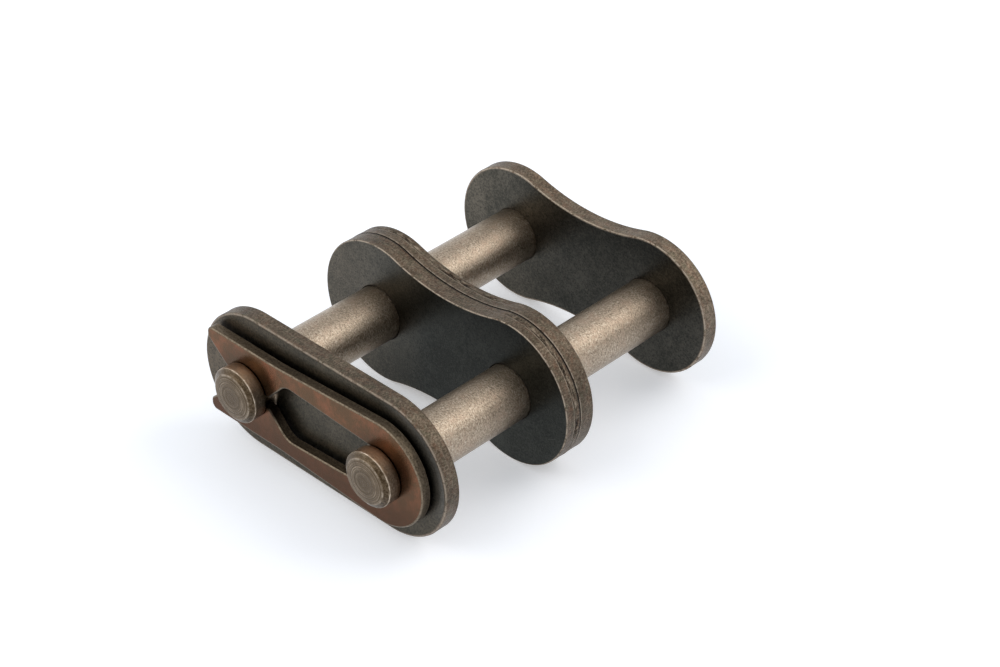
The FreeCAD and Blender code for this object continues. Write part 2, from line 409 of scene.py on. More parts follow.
# Frequencies along the rim and through it, for the fine tears, the grain, the tear line's waves and the
# places where all of them fade
FINE_TEARS = (1.3, 8)
TEAR_GRAIN = (4.5, 9)
LONG_WAVES = (0.8, 0)
SHORT_WAVES = (3.2, 0)
FADING = (0.7, 0)

# The grain's depth and how uneven it is
RIM_GRAIN = 0.011
GRAIN_UNEVEN = 0.8

# The tear line: its width, its waves' height as a share of the thickness, and the share of the short waves
TEAR_WIDTH = 0.05
WAVE_HEIGHT = 0.05
SHORT_WAVE_SHARE = 0.6

# The light ridge before the tear line
RIDGE_AHEAD = 2 * TEAR_WIDTH
RIDGE_WIDTH = 0.04

# The broken band behind the tear line: its width, where it fades out and how light its ridges are
BROKEN_WIDTH = 0.34
BROKEN_FADE = 0.1
BROKEN_RIDGES = 0.8

# Each mark's middle level, then how much the fine tears and the grain change it
TORN_LEVELS = (0.25, 1.8, 0.8)
RIDGE_LEVELS = (-0.2, -2.2, -1.0)

# How clearly the marks show on average, and how much that changes along the rim
SHOWN_LEVEL = 0.8
SHOWN_CHANGE = 1.2

# Away from the stretch where the marks show fully: their share there, and the length of the change
OUTSIDE_SHARE = 0.1
STRETCH_FADE = 2.5


def tear(seed, share, deep, thickness, shown):
    """Marks of blanking: from the front a smooth sheared band, a wavy tear line and a rough broken band.

    share is how far through the thickness the tear line runs, deep how deep the tears are, and shown(x)
    how strongly they show along the plate. The answer is a depth, how torn the metal is and how much a
    ridge catches the light, the last two from 0 to 1.
    """
    def level(levels, fine, grain):
        middle, by_fine, by_grain = levels
        return clamp(middle + by_fine * fine + by_grain * grain)

    def marks(x, y, z):
        fine = wobble(x, y, z, FINE_TEARS, seed)
        grain = wobble(x, y, z, TEAR_GRAIN, seed)
        wave = wobble(x, y, z, LONG_WAVES, seed) + SHORT_WAVE_SHARE * wobble(x, y, z, SHORT_WAVES, seed)
        show = shown(x) * clamp(SHOWN_LEVEL + SHOWN_CHANGE * wobble(x, y, z, FADING, 3 * seed))
        past = y - (share + WAVE_HEIGHT * wave) * thickness
        broken = clamp(past / TEAR_WIDTH) * clamp((BROKEN_WIDTH - past) / BROKEN_FADE)
        torn = show * max(bell(past, TEAR_WIDTH), broken * level(TORN_LEVELS, fine, grain))
        ridges = BROKEN_RIDGES * broken * level(RIDGE_LEVELS, fine, grain)
        ridge = show * max(bell(past + RIDGE_AHEAD, RIDGE_WIDTH), ridges)
        return RIM_GRAIN * (1 + GRAIN_UNEVEN * grain) + deep * torn, torn, ridge
    return marks


def stretch(low, high):
    """Shows blanking marks fully where x is from low to high, and faintly elsewhere."""
    def shown(x):
        inside = clamp(min((x - low) / STRETCH_FADE, (high - x) / STRETCH_FADE))
        return OUTSIDE_SHARE + (1 - OUTSIDE_SHARE) * inside
    return shown


def everywhere(share):
    """Shows blanking marks equally strongly all along a plate."""
    return lambda x: share


# Materials

# Sockets of a colour mix
COLOUR_A = 6
COLOUR_B = 7
COLOUR_OUT = 2


class Nodes:
    """Adds and links the nodes of one tree. A value is a number, a colour or another node's socket."""

    def __init__(self, tree):
        self.tree = tree

    def add(self, kind, **settings):
        node = self.tree.nodes.new(kind)
        for key, value in settings.items():
            setattr(node, key, value)
        return node

    def feed(self, socket, value):
        if isinstance(value, bpy.types.NodeSocket):
            self.tree.links.new(value, socket)
        else:
            socket.default_value = value

    def span(self, value, low, high, to_low=0.0, to_high=1.0, **settings):
        """Value from low..high turned into to_low..to_high, and held there."""
        node = self.add("ShaderNodeMapRange", **settings)
        sockets = ("Value", "From Min", "From Max", "To Min", "To Max")
        for socket, v in zip(sockets, (value, low, high, to_low, to_high)):
            self.feed(node.inputs[socket], v)
        return node.outputs["Result"]

    def math(self, operation, a, b):
        node = self.add("ShaderNodeMath", operation=operation)
        self.feed(node.inputs[0], a)
        self.feed(node.inputs[1], b)
        return node.outputs["Value"]

    def plus(self, a, b):
        return self.math("ADD", a, b)

    def times(self, a, b):
        return self.math("MULTIPLY", a, b)

    def mix(self, factor, a, b):
        """Colour a where factor is 0, colour b where it is 1."""
        node = self.add("ShaderNodeMix", data_type="RGBA")
        self.feed(node.inputs["Factor"], factor)
        for socket, colour in ((COLOUR_A, a), (COLOUR_B, b)):
            linked = isinstance(colour, bpy.types.NodeSocket)
            self.feed(node.inputs[socket], colour if linked else (*colour, 1))
        return node.outputs[COLOUR_OUT]

    def tint(self, colour, by):
        """Colour multiplied by another."""
        node = self.add("ShaderNodeMix", data_type="RGBA", blend_type="MULTIPLY")
        self.feed(node.inputs["Factor"], 1.0)
        self.feed(node.inputs[COLOUR_A], colour)
        self.feed(node.inputs[COLOUR_B], by)
        return node.outputs[COLOUR_OUT]


class Shader(Nodes):
    """One Principled material, built node by node."""

    def __init__(self, name):
        self.material = bpy.data.materials.new(name)
        self.material.use_nodes = True
        super().__init__(self.material.node_tree)
        self.shader = self.tree.nodes["Principled BSDF"]
        self.coords = self.add("ShaderNodeTexCoord").outputs["Object"]

    def show(self, **values):
        """Sets the shader's own inputs, such as Roughness, to numbers or to other nodes' sockets."""
        for name, value in values.items():
            self.feed(self.shader.inputs[name.replace("_", " ")], value)

    def attribute(self, name):
        return self.add("ShaderNodeAttribute", attribute_name=name).outputs["Fac"]

    def noise(self, per_mm, detail, roughness, turn=0.0):
        """Noise with a frequency per millimetre along X, Y and Z, turned about Y by an angle in radians."""
        place = self.coords
        if turn:
            rotation = self.add("ShaderNodeMapping")
            self.feed(rotation.inputs["Rotation"], (0, turn, 0))
            self.feed(rotation.inputs["Vector"], place)
            place = rotation.outputs["Vector"]
        mapping = self.add("ShaderNodeMapping")
        self.feed(mapping.inputs["Scale"], [f / MM for f in per_mm])
        self.feed(mapping.inputs["Vector"], place)
        texture = self.add("ShaderNodeTexNoise")
        self.feed(texture.inputs["Vector"], mapping.outputs["Vector"])
        return self.finished_noise(texture, detail, roughness)

    def rings(self, value, per_mm, detail, roughness):
        """Noise along one value in millimetres, so that it runs in rings."""
        texture = self.add("ShaderNodeTexNoise", noise_dimensions="1D")
        self.feed(texture.inputs["W"], self.times(value, per_mm))
        return self.finished_noise(texture, detail, roughness)

    def finished_noise(self, texture, detail, roughness):
        for name, value in (("Scale", 1.0), ("Detail", detail), ("Roughness", roughness)):
            self.feed(texture.inputs[name], value)
        return texture.outputs["Fac"]

    def along(self, axis, low, high, to_low=0.0, to_high=1.0):
        """Span from one place to another along X, Y or Z, in millimetres."""
        split = self.add("ShaderNodeSeparateXYZ")
        self.feed(split.inputs["Vector"], self.coords)
        return self.span(split.outputs[axis], low * MM, high * MM, to_low, to_high)

    def near(self, point, full, gone):
        """1 within full millimetres of a point, fading to 0 at gone millimetres from it."""
        distance = self.add("ShaderNodeVectorMath", operation="DISTANCE")
        self.feed(distance.inputs[0], self.coords)
        self.feed(distance.inputs[1], Vector(point) * MM)
        return self.span(distance.outputs["Value"], gone * MM, full * MM)

    def bump(self, height, depth_mm):
        node = self.add("ShaderNodeBump")
        self.feed(node.inputs["Distance"], depth_mm * MM)
        self.feed(node.inputs["Height"], height)
        self.show(Normal=node.outputs["Normal"])


# For each material come its colours, then
# - its noises: frequency per millimetre along X, Y and Z, detail and roughness
# - its ranges: the two values between which something comes in, and its least and most if not 0 and 1
# - its strengths, and its places in millimetres

PLATE_FACE = (0.035, 0.035, 0.030)
PLATE_FACE_DARK = (0.019, 0.0195, 0.0175)
PLATE_FACE_LIGHT = (0.078, 0.074, 0.064)
# Painted sheen beside the clip: lighter grey that stands in for reflected light
PLATE_PAINTED_SHEEN = (0.085, 0.080, 0.070)
PLATE_PAINTED_SHEEN_LIGHT = (0.13, 0.122, 0.108)
PLATE_RIM = (0.096, 0.073, 0.052)
PLATE_RIM_DARK = (0.044, 0.032, 0.022)
PLATE_RIM_RED = (0.113, 0.071, 0.048)
PLATE_RIM_OLIVE = (0.088, 0.077, 0.052)
PLATE_RIM_LIGHT = (0.19, 0.15, 0.11)
PLATE_TORN = (0.010, 0.0075, 0.006)
PLATE_RIDGE = (0.30, 0.25, 0.19)
PLATE_SEAM = (0.006, 0.005, 0.0045)
PLATE_WORN = (0.40, 0.34, 0.275)
PLATE_RUST = (0.17, 0.08, 0.038)

SMUDGES = ((0.22, 0.22, 0.22), 4, 0.6)
MOTTLES = ((1.7, 1.7, 1.7), 3, 0.6)
SPECKS = ((6, 6, 6), 4, 0.7)
SCRATCHES = ((0.55, 1, 11), 2, 0.4)
RIM_FLECKS = ((6.5, 4, 6.5), 5, 0.8)
RIM_CLOUDS = ((0.5, 0.8, 0.5), 3, 0.6)
RIM_HUES = ((1.4, 2.2, 1.4), 4, 0.7)
PLATE_WEAR_GAPS = ((2.2, 2.2, 2.2), 5, 0.75)
PLATE_RUST_SPOTS = ((1.6, 1.6, 1.6), 4, 0.7)

SMUDGE_RANGE = (0.6, 0.95)
DARK_SPECK_RANGE = (0.51, 0.37, 0, 0.85)
LIGHT_SPECK_RANGE = (0.53, 0.68, 0, 0.85)
SCRATCH_RANGE = (0.70, 0.74, 0, 0.8)
# Speck range of the painted sheen beside the clip
PAINTED_SHEEN_SPECK_RANGE = (0.4, 0.6)
RIM_CLOUD_RANGE = (0.3, 0.7, -0.06, 0.06)
OLIVE_RANGE = (0.48, 0.36)
RED_RANGE = (0.52, 0.64)
RIM_LIGHT_RANGE = (0.50, 0.64)
RIM_DARK_RANGE = (0.48, 0.35)
TORN_RANGE = (0.66, 0.5, 0.3, 1)
RIDGE_RANGE = (0.3, 0.5, 0.3, 1)
PLATE_WEAR_RANGE = (0.40, 0.50)
PLATE_RUST_RANGE = (0.64, 0.72)
PLATE_ROUGHNESS_RANGE = (0.3, 0.7, 0.27, 0.36)

PLATE_METALLIC = 0.97
# The painted sheen beside the clip is less metallic
PAINTED_SHEEN_METALLIC = 0.35
MOTTLE_STRENGTH = 0.4
SCRATCH_TURN = 0.55
RIM_RUST = 0.35
PLATE_RIM_ROUGHER = 0.14
SPECK_RELIEF = 0.35
RIM_FLECK_RELIEF = 1.4
PLATE_RELIEF_DEPTH = 0.035

# Places of the painted sheen beside the clip, in millimetres
PAINTED_SHEEN_START = 4.8
PAINTED_SHEEN_END = 6.5
PAINTED_SHEEN_X = (HALF_PITCH - 1, HALF_PITCH + 2)
PAINTED_SHEEN_Z = (AXIS_Z - 3, AXIS_Z + 1)
# Where the painted reflection on a plate's face changes along X: from its middle to its left end
PAINTED_REFLECTION_X = (-2.0, -13.0)


def painted_sheen_beside_clip(s):
    """Share of a painted sheen on the connecting plate's face: a lighter, less metallic grey patch.

    It stands in for reflected light and lies from the clip's closed end to the plate's upper right edge.
    """
    under_clip = s.near((HALF_PITCH, conn_low.y, AXIS_Z), PAINTED_SHEEN_START, PAINTED_SHEEN_END)
    margin = s.math("SUBTRACT", 1.0, under_clip)
    return s.times(margin, s.times(s.along("X", *PAINTED_SHEEN_X), s.along("Z", *PAINTED_SHEEN_Z)))


def plate_steel(name, rim_light, left, right, painted_sheen=None):
    """Blackened plate: dark satin faces with specks and scratches, brown blanked rims, bare worn edges.

    rim_light scales the rim's colours. left and right tint the face, at its left end and from its middle
    rightwards, as painted reflection: lighter where the face would mirror lit floor, darker where it would
    mirror the part's shadow. The last argument, a function of the shader, gives the share of a painted
    sheen on the face.
    """
    s = Shader(name)
    rim = s.attribute("rim")
    speck = s.noise(*SPECKS)
    smudge = s.plus(s.noise(*SMUDGES), s.times(s.noise(*MOTTLES), MOTTLE_STRENGTH))
    face = s.mix(s.span(smudge, *SMUDGE_RANGE), PLATE_FACE, PLATE_FACE_LIGHT)
    face = s.mix(s.span(speck, *DARK_SPECK_RANGE), face, PLATE_FACE_DARK)
    face = s.mix(s.span(speck, *LIGHT_SPECK_RANGE), face, PLATE_FACE_LIGHT)
    face = s.mix(s.span(s.noise(*SCRATCHES, SCRATCH_TURN), *SCRATCH_RANGE), face, PLATE_FACE_LIGHT)
    # Painted reflection: the face is lighter towards the end where it would mirror lit floor, darker where
    # it would mirror the part's shadow
    face = s.tint(face, s.mix(s.along("X", *PAINTED_REFLECTION_X), right, left))
    s.show(Metallic=PLATE_METALLIC)
    # Painted sheen: a lighter, less metallic grey patch in place of reflected light
    if painted_sheen:
        share = s.times(painted_sheen(s), s.math("SUBTRACT", 1.0, rim))
        face = s.mix(share, face, s.mix(s.span(speck, *PAINTED_SHEEN_SPECK_RANGE), PLATE_PAINTED_SHEEN, PLATE_PAINTED_SHEEN_LIGHT))
        s.show(Metallic=s.span(share, 0, 1, PLATE_METALLIC, PAINTED_SHEEN_METALLIC))
    middle, light, dark, red, olive = (
        [c * rim_light for c in colour]
        for colour in (PLATE_RIM, PLATE_RIM_LIGHT, PLATE_RIM_DARK, PLATE_RIM_RED, PLATE_RIM_OLIVE))
    fleck = s.noise(*RIM_FLECKS)
    hue = s.noise(*RIM_HUES)
    level = s.plus(fleck, s.span(s.noise(*RIM_CLOUDS), *RIM_CLOUD_RANGE))
    edge = s.mix(s.span(hue, *OLIVE_RANGE), s.mix(s.span(hue, *RED_RANGE), middle, red), olive)
    edge = s.mix(s.span(level, *RIM_LIGHT_RANGE), edge, light)
    edge = s.mix(s.span(level, *RIM_DARK_RANGE), edge, dark)
    edge = s.mix(s.times(s.attribute("torn"), s.span(fleck, *TORN_RANGE)), edge, PLATE_TORN)
    edge = s.mix(s.times(s.attribute("ridge"), s.span(fleck, *RIDGE_RANGE)), edge, PLATE_RIDGE)
    colour = s.mix(rim, face, edge)
    worn = s.times(s.attribute("wear"), s.span(s.noise(*PLATE_WEAR_GAPS), *PLATE_WEAR_RANGE))
    colour = s.mix(worn, colour, PLATE_WORN)
    rust = s.span(s.noise(*PLATE_RUST_SPOTS), *PLATE_RUST_RANGE)
    colour = s.mix(s.times(rust, s.math("MAXIMUM", worn, s.times(rim, RIM_RUST))), colour, PLATE_RUST)
    colour = s.mix(s.attribute("seam"), colour, PLATE_SEAM)
    roughness = s.plus(s.span(speck, *PLATE_ROUGHNESS_RANGE), s.times(rim, PLATE_RIM_ROUGHER))
    s.show(Base_Color=colour, Roughness=roughness)
    relief = s.plus(s.times(speck, SPECK_RELIEF), s.times(s.times(fleck, rim), RIM_FLECK_RELIEF))
    s.bump(relief, PLATE_RELIEF_DEPTH)
    return s.material


PIN_COLOUR = (0.34, 0.275, 0.208)
PIN_DARK = (0.195, 0.152, 0.111)
PIN_LIGHT = (0.50, 0.43, 0.345)
PIN_WARM = (0.36, 0.262, 0.195)
PIN_END = (0.092, 0.067, 0.043)
PIN_END_LIGHT = (0.30, 0.24, 0.175)
PIN_RUST = (0.104, 0.074, 0.046)
PIN_PITTED = (0.034, 0.022, 0.011)
# Painted light on the tops of the heads' sides
PIN_PAINTED_TOP_LIGHT = (0.42, 0.27, 0.165)
PIN_WORN = (0.60, 0.51, 0.41)

PIN_GRAIN = ((6.0, 8.0, 6.0), 3, 0.68)
PIN_CLOUDS = ((0.35, 0.5, 0.35), 4, 0.6)
PIN_WARMTH = ((1.1, 1.1, 1.1), 4, 0.7)
RING_GAPS = ((0.9, 0.9, 0.9), 4, 0.6)
RUST_BLOTCHES = ((0.9, 1.0, 0.9), 5, 0.75)
PITS = ((3.4, 4.0, 3.4), 5, 0.8)
TOP_LIGHT_PATCHES = ((1.3, 1.6, 1.3), 4, 0.7)
PIN_WEAR_GAPS = ((1.8, 1.8, 1.8), 4, 0.7)
# The rings' noise has one frequency, along the radius
TURNED_RINGS = (5.5, 3.0, 0.7)

DARK_GRAIN_RANGE = (0.50, 0.38)
LIGHT_GRAIN_RANGE = (0.52, 0.64)
PIN_CLOUD_RANGE = (0.5, 0.72, 0, 0.3)
WARMTH_RANGE = (0.5, 0.68, 0, 0.5)
RING_RANGE = (0.47, 0.60)
RING_GAP_RANGE = (0.38, 0.58, 0.3, 1)
RING_RADIUS_RANGE = (0.4, 1.3, 0.1, 1)
END_GRAIN_RANGE = (0.5, 0.36, 0, 0.6)
BLOTCH_RANGE = (0.36, 0.58, 0.2, 1)
PIT_RANGE = (0.62, 0.44)
TOP_LIGHT_PATCH_RANGE = (0.35, 0.6, 0.35, 0.85)
PIN_WEAR_RANGE = (0.42, 0.58, 0.15, 1)
PIN_ROUGHNESS_RANGE = (0.3, 0.7, 0.27, 0.40)
# The side of a head lies between the plain pin and the turned end, in the mark "end"
OFF_PLAIN_PIN_RANGE = (0.1, 0.4)
OFF_TURNED_END_RANGE = (0.8, 0.5)

PIT_POWER = 2.0
END_ROUGHER = 0.06
RING_RELIEF = 0.45
PIN_RELIEF_DEPTH = 0.047

# Heights where the painted light on the heads' tops comes in
HEAD_TOP_Z = (AXIS_Z + 1.3, AXIS_Z + 2.5)


def pin_steel():
    """Tempered pin: bronze satin steel with a fine pitted grain, turned ends and dark rust stains."""
    s = Shader("pin_steel")
    grain = s.noise(*PIN_GRAIN)
    colour = s.mix(s.span(grain, *DARK_GRAIN_RANGE), PIN_COLOUR, PIN_DARK)
    colour = s.mix(s.span(grain, *LIGHT_GRAIN_RANGE), colour, PIN_LIGHT)
    colour = s.mix(s.span(s.noise(*PIN_CLOUDS), *PIN_CLOUD_RANGE), colour, PIN_DARK)
    colour = s.mix(s.span(s.noise(*PIN_WARMTH), *WARMTH_RANGE), colour, PIN_WARM)
    end = s.attribute("end")
    radius = s.attribute("ring")
    ring = s.rings(radius, *TURNED_RINGS)
    ring_shown = s.times(s.span(s.noise(*RING_GAPS), *RING_GAP_RANGE), s.span(radius, *RING_RADIUS_RANGE))
    turned_colour = s.mix(s.times(s.span(ring, *RING_RANGE), ring_shown), PIN_END, PIN_END_LIGHT)
    turned_colour = s.mix(s.span(grain, *END_GRAIN_RANGE), turned_colour, PIN_RUST)
    colour = s.mix(end, colour, turned_colour)
    # The stain mark is rust, made stronger on one side of each pin as painted shade
    stain_and_shade = s.attribute("stain_and_shade")
    colour = s.mix(s.times(stain_and_shade, s.span(s.noise(*RUST_BLOTCHES), *BLOTCH_RANGE)), colour, PIN_RUST)
    # Dark pits break up the rust on the bevel of the turned end
    pits = s.times(s.span(s.noise(*PITS), *PIT_RANGE), end)
    colour = s.mix(s.times(s.math("POWER", stain_and_shade, PIT_POWER), pits), colour, PIN_PITTED)
    # Painted light: the tops of the heads' sides, where the light falls, are made lighter in patches
    sides = s.times(s.span(end, *OFF_PLAIN_PIN_RANGE), s.span(end, *OFF_TURNED_END_RANGE))
    painted_top_light = s.times(s.times(s.along("Z", *HEAD_TOP_Z), sides), s.span(s.noise(*TOP_LIGHT_PATCHES), *TOP_LIGHT_PATCH_RANGE))
    colour = s.mix(painted_top_light, colour, PIN_PAINTED_TOP_LIGHT)
    gaps = s.span(s.noise(*PIN_WEAR_GAPS), *PIN_WEAR_RANGE)
    colour = s.mix(s.times(s.attribute("wear"), gaps), colour, PIN_WORN)
    roughness = s.plus(s.span(grain, *PIN_ROUGHNESS_RANGE), s.times(end, END_ROUGHER))
    s.show(Base_Color=colour, Metallic=1.0, Roughness=roughness)
    s.bump(s.plus(grain, s.times(s.times(ring, end), RING_RELIEF)), PIN_RELIEF_DEPTH)
    return s.material


CLIP_COLOUR = (0.118, 0.057, 0.026)
CLIP_RED = (0.205, 0.078, 0.038)
CLIP_OLIVE = (0.076, 0.047, 0.022)
CLIP_DARK = (0.062, 0.0265, 0.0115)
# Painted shadow of the pins, mixed with oil
CLIP_PIN_SHADOW_AND_OIL = (0.022, 0.0165, 0.009)
CLIP_RIM = (0.17, 0.136, 0.096)
CLIP_RIM_DARK = (0.072, 0.055, 0.039)
CLIP_TORN = (0.016, 0.011, 0.008)
CLIP_WORN = (0.36, 0.29, 0.21)

BRUSHING = ((9, 3, 2.0), 3, 0.6)
CLIP_CLOUDS = ((0.7, 0.7, 0.6), 5, 0.65)
CLIP_FLECKS = ((6, 6, 6), 4, 0.75)
CLIP_WEAR_GAPS = ((1.5, 1.5, 1.5), 5, 0.75)

RED_CLOUD_RANGE = (0.45, 0.70)
OLIVE_CLOUD_RANGE = (0.50, 0.30, 0, 0.6)
OLIVE_BRUSHING_RANGE = (0.55, 0.35, 0, 0.4)
PIN_SHADOW_AND_OIL_RANGE = (0.3, 0.6, 0.3, 0.7)
CLIP_FLECK_RANGE = (0.38, 0.6)
CLIP_WEAR_RANGE = (0.40, 0.56, 0.1, 1)
CLIP_ROUGHNESS_RANGE = (0.3, 0.7, 0.19, 0.27)

LOWER_LEG_DARKER = 0.8
# Share of the worn edges that still shows in the painted slot shade
WEAR_IN_SLOT_SHADE = 0.25
CLIP_RIM_ROUGHER = 0.2
BRUSHING_RELIEF = 0.5
CLIP_RELIEF_DEPTH = 0.008

LOWER_LEG_Z = (AXIS_Z + 1, AXIS_Z - 3.5)
UPPER_HALF_Z = (AXIS_Z - 1, AXIS_Z + 1)
# Distances from a pin's axis, and from the middle of the neck, where the painted pin shadow with oil and
# the painted slot shade are full and gone
PIN_SHADOW_AND_OIL_REACH = (2.7, 4.6)
NECK_SHADE_REACH = (1.1, 2.3)


def clip_steel():
    """Spring clip: coppery brown temper colours, faintly brushed, with a brown rim and tan edges."""
    s = Shader("clip_steel")
    brush = s.noise(*BRUSHING)
    cloud = s.noise(*CLIP_CLOUDS)
    colour = s.mix(s.span(cloud, *RED_CLOUD_RANGE), CLIP_COLOUR, CLIP_RED)
    colour = s.mix(s.span(cloud, *OLIVE_CLOUD_RANGE), colour, CLIP_OLIVE)
    colour = s.mix(s.span(brush, *OLIVE_BRUSHING_RANGE), colour, CLIP_OLIVE)
    # The clip is made darker towards its lower leg
    colour = s.mix(s.along("Z", *LOWER_LEG_Z, 0, LOWER_LEG_DARKER), colour, CLIP_DARK)
    # Painted shadow of the pins, mixed with oil, darkens the upper half round both pins, and painted shade
    # darkens the rim in the narrow slot beside the left pin and dims its worn edges
    left, right = (s.near((x, clip_low.y, AXIS_Z), *PIN_SHADOW_AND_OIL_REACH) for x in (-HALF_PITCH, HALF_PITCH))
    pin_shadow_and_oil = s.times(s.math("MAXIMUM", left, right), s.span(cloud, *PIN_SHADOW_AND_OIL_RANGE))
    colour = s.mix(s.times(pin_shadow_and_oil, s.along("Z", *UPPER_HALF_Z)), colour, CLIP_PIN_SHADOW_AND_OIL)
    slot_shade = s.near((CLIP_NECK_REACH - HALF_PITCH, clip_low.y, AXIS_Z), *NECK_SHADE_REACH)
    fleck = s.noise(*CLIP_FLECKS)
    rim = s.attribute("rim")
    colour = s.mix(rim, colour, s.mix(s.span(fleck, *CLIP_FLECK_RANGE), CLIP_RIM_DARK, CLIP_RIM))
    # The rim is near-black where it is torn, and as painted shade in the narrow slot
    colour = s.mix(s.math("MAXIMUM", s.attribute("torn"), s.times(rim, slot_shade)), colour, CLIP_TORN)
    gaps = s.times(s.span(s.noise(*CLIP_WEAR_GAPS), *CLIP_WEAR_RANGE), s.span(slot_shade, 0, 1, 1, WEAR_IN_SLOT_SHADE))
    colour = s.mix(s.times(s.attribute("wear"), gaps), colour, CLIP_WORN)
    roughness = s.plus(s.span(cloud, *CLIP_ROUGHNESS_RANGE), s.times(rim, CLIP_RIM_ROUGHER))
    s.show(Base_Color=colour, Metallic=1.0, Roughness=roughness)
    s.bump(s.plus(s.times(brush, BRUSHING_RELIEF), fleck), CLIP_RELIEF_DEPTH)
    return s.material


# Tints of each kind of plate: its rim's lightness, then the painted reflection on its face, at its left end
# and from its middle rightwards
CONNECTING_RIM_AND_PAINTED_REFLECTION = (0.94, (1.38, 1.12, 0.88), (1.10, 0.98, 0.82))
MIDDLE_RIM_AND_PAINTED_REFLECTION = (0.94, (1.5, 1.33, 1.16), (0.57, 0.64, 0.65))
LINK_RIM_AND_PAINTED_REFLECTION = (1.27, (1.5, 1.38, 1.24), (0.88, 0.88, 0.86))

connecting_material = plate_steel("connecting_plate_steel", *CONNECTING_RIM_AND_PAINTED_REFLECTION, painted_sheen_beside_clip)
middle_material = plate_steel("intermediate_plate_steel", *MIDDLE_RIM_AND_PAINTED_REFLECTION)
link_material = plate_steel("pin_link_plate_steel", *LINK_RIM_AND_PAINTED_REFLECTION)
pin_material = pin_steel()
clip_material = clip_steel()


# Plates and clip

# Front and rear edge of each piece: width across the face, depth down the rim, wear and seam marks
CONNECTING_EDGES = ((0.28, 0.16, SOFTLY_WORN, NO_MARK), (0.12, 0.12, HARDLY_WORN, NO_MARK))
LINK_EDGES = ((0.24, 0.15, WORN, NO_MARK), (0.14, 0.14, HARDLY_WORN, NO_MARK))
MIDDLE_FRONT_EDGES = ((0.15, 0.14, WORN, NO_MARK), (0.13, 0.13, NO_MARK, SEAM_SHADE))
MIDDLE_REAR_EDGES = ((0.14, 0.14, SEAM_WORN, SEAM_SHADE_THIN), (0.16, 0.16, WORN, NO_MARK))
CLIP_EDGES = ((0.17, 0.13, FAINTLY_WORN, NO_MARK), (0.08, 0.08, HARDLY_WORN, NO_MARK))

# Blanking marks of each piece: seed, how far through the thickness the tear line runs, depth of the tears
CONNECTING_TEARS = (3.1, 0.62, 0.04)
LINK_TEARS = (7.7, 0.55, 0.04)
MIDDLE_FRONT_TEARS = (12.4, 0.62, 0.09)
MIDDLE_REAR_TEARS = (20.9, 0.60, 0.09)
CLIP_TEARS = (31.2, 0.6, 0.03)

# Where they show: an equal share all round the outer plates and the clip, a stretch of X on the middle ones
OUTER_TEARS_SHOWN = 0.15
CLIP_TEARS_SHOWN = 0.3
MIDDLE_FRONT_STRETCH = (4, 20)
MIDDLE_REAR_STRETCH = (-12, 6)


def straight_place(front_y):
    """Places a flat piece with its front face at front_y."""
    return lambda v: Vector((v.x, v.y + front_y, v.z + AXIS_Z))


def leaning_place(node):
    """Places an intermediate plate about the middle of its CAD node, leaning by the same angle."""
    low, high = box_mm(node)
    middle = (low + high) / 2
    turn = Matrix.Rotation(-LEAN, 3, "Z")
    return lambda v: turn @ Vector((v.x, v.y - MIDDLE_THICKNESS / 2, v.z)) + middle


def make_plate(node, body, material, corners, thickness, edges, rim_marks, hole_radius, place):
    """One plate with a hole round each pin."""
    holes = [(-HALF_PITCH, hole_radius), (HALF_PITCH, hole_radius)]
    parts = slab(corners, thickness, edges, rim_marks, holes, place)
    make_skin(node, body, "plate_steel", material, *parts)


make_plate(
    "connecting_plate", "removable_plate", connecting_material,
    straight_corners(CONN_HEIGHT), OUTER_THICKNESS, CONNECTING_EDGES,
    tear(*CONNECTING_TEARS, OUTER_THICKNESS, everywhere(OUTER_TEARS_SHOWN)),
    SLIP_HOLE_RADIUS, straight_place(conn_low.y))
make_plate(
    "pin_link_plate", "pin_link", link_material,
    waisted_corners(LINK_HEIGHT, LINK_WAIST_DEPTH), OUTER_THICKNESS, LINK_EDGES,
    tear(*LINK_TEARS, OUTER_THICKNESS, everywhere(OUTER_TEARS_SHOWN)),
    PIN_RADIUS, straight_place(link_low.y))
make_plate(
    "intermediate_plate_front", "intermediate_front", middle_material,
    waisted_corners(MIDDLE_HEIGHT, MIDDLE_WAIST_DEPTH), MIDDLE_THICKNESS, MIDDLE_FRONT_EDGES,
    tear(*MIDDLE_FRONT_TEARS, MIDDLE_THICKNESS, stretch(*MIDDLE_FRONT_STRETCH)),
    SLIP_HOLE_RADIUS, leaning_place("intermediate_plate_front"))
make_plate(
    "intermediate_plate_rear", "intermediate_rear", middle_material,
    waisted_corners(MIDDLE_HEIGHT, MIDDLE_WAIST_DEPTH), MIDDLE_THICKNESS, MIDDLE_REAR_EDGES,
    tear(*MIDDLE_REAR_TEARS, MIDDLE_THICKNESS, stretch(*MIDDLE_REAR_STRETCH)),
    SLIP_HOLE_RADIUS, leaning_place("intermediate_plate_rear"))
clip_parts = slab(
    clip_corners(), CLIP_THICKNESS, CLIP_EDGES,
    tear(*CLIP_TEARS, CLIP_THICKNESS, everywhere(CLIP_TEARS_SHOWN)),
    [], straight_place(clip_low.y), CLIP_OUTLINE_STEP)
make_skin("spring_clip", "clip", "clip_steel", clip_material, *clip_parts)


# Pins

# Turned rings on the front end: radius and depth of each, how wide they are, and the step between mesh rows
PIN_RINGS = ((0.45, 0.010), (0.85, 0.012), (1.2, 0.025), (1.45, 0.015), (1.70, 0.02), (1.93, 0.04))
PIN_RING_WIDTH = 0.045
PIN_RING_STEP = 0.03

# Front end: radius and distance behind the pin's tip
FRONT_END = (
    (0.0, 0.0), (1.2, 0.0), (1.95, 0.09), (2.05, 0.13), (2.15, 0.2), (2.4, 0.4), (2.5, 0.47), (2.54, 0.56))

